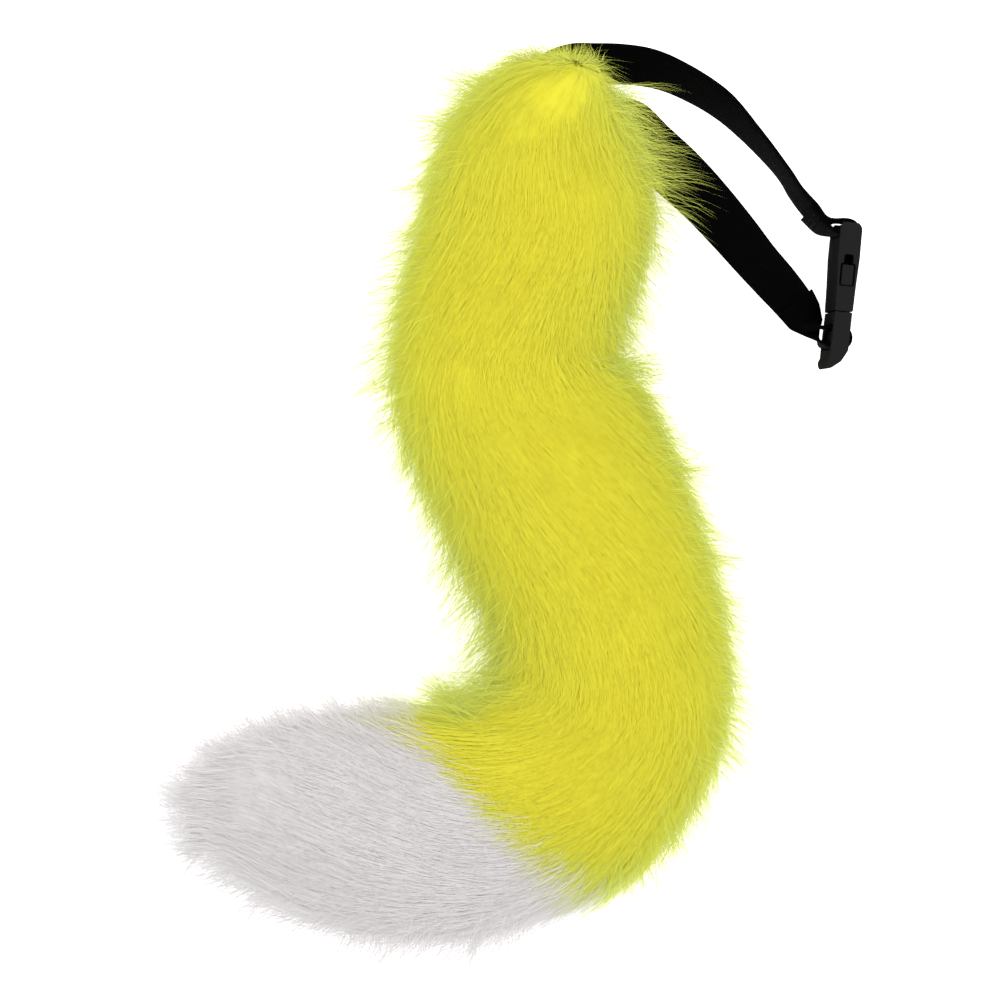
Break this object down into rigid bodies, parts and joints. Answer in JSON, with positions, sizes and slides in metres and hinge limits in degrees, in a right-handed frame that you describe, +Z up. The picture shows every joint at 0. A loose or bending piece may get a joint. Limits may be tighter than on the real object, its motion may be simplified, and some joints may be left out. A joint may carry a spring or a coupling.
{
  "type": "costume animal tail",
  "caption": "Curved stuffed fur tail with a pale tip, on a webbing waist belt with a side-release buckle.",
  "frame": {"origin": "on the floor, under the middle of the bounding box of the lying tail and belt", "axes": "+Z up from the floor that it lies on; +Y from the bend above the tip towards the root; +X towards the buckle"},
  "size_m": [0.4108, 0.519, 0.1075],
  "materials": {
    "yellow_fur": "long plush fur",
    "pale_fur": "long plush fur",
    "webbing": "matte woven webbing",
    "buckle_plastic": "satin moulded"
  },
  "bodies": {
    "root": {"tail_body": "yellow_fur", "tail_tip": "pale_fur", "belt_strap": "webbing", "buckle_female": "buckle_plastic", "buckle_male": "buckle_plastic"}
  },
  "joints": []
}
